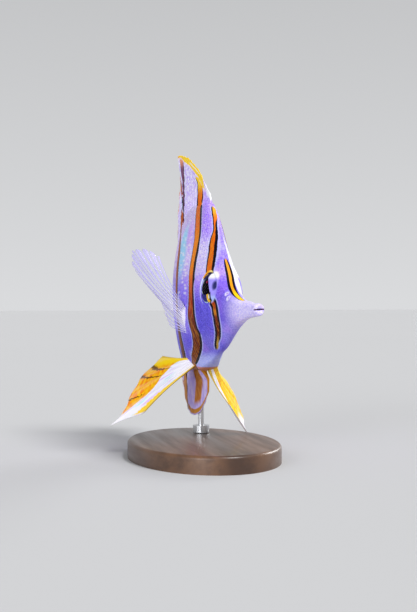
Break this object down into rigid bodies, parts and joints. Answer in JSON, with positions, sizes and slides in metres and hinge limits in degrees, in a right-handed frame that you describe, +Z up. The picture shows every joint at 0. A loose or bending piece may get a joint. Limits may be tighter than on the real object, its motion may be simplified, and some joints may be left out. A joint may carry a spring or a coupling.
{
  "type": "butterflyfish model on a display stand",
  "caption": "Life-size still model of a copperband butterflyfish, head turned and fins spread, on a plain oval stand.",
  "frame": {"origin": "middle of the stand base's underside, on the ground", "axes": "+X towards the fish's front, +Y to the fish's left, +Z up"},
  "size_m": [0.1395, 0.0648, 0.1263],
  "materials": {
    "skin": "satin, orange bands edged black",
    "eye": "polished",
    "fin": "satin, ribbed with rays",
    "clear_fin": "satin, ribbed with rays",
    "stand_wood": "satin lacquer",
    "stand_metal": "brushed"
  },
  "bodies": {
    "root": {"head": "skin", "gill_cover_left": "skin", "gill_cover_right": "skin", "eye_left": "eye", "eye_right": "eye", "trunk": "skin", "tail": "skin", "dorsal_fin": "fin", "anal_fin": "fin", "caudal_fin": "clear_fin", "pectoral_fin_left": "clear_fin", "pectoral_fin_right": "clear_fin", "pelvic_fin_left": "fin", "pelvic_fin_right": "fin", "stand_base": "stand_wood", "stand_rod": "stand_metal"}
  },
  "joints": []
}
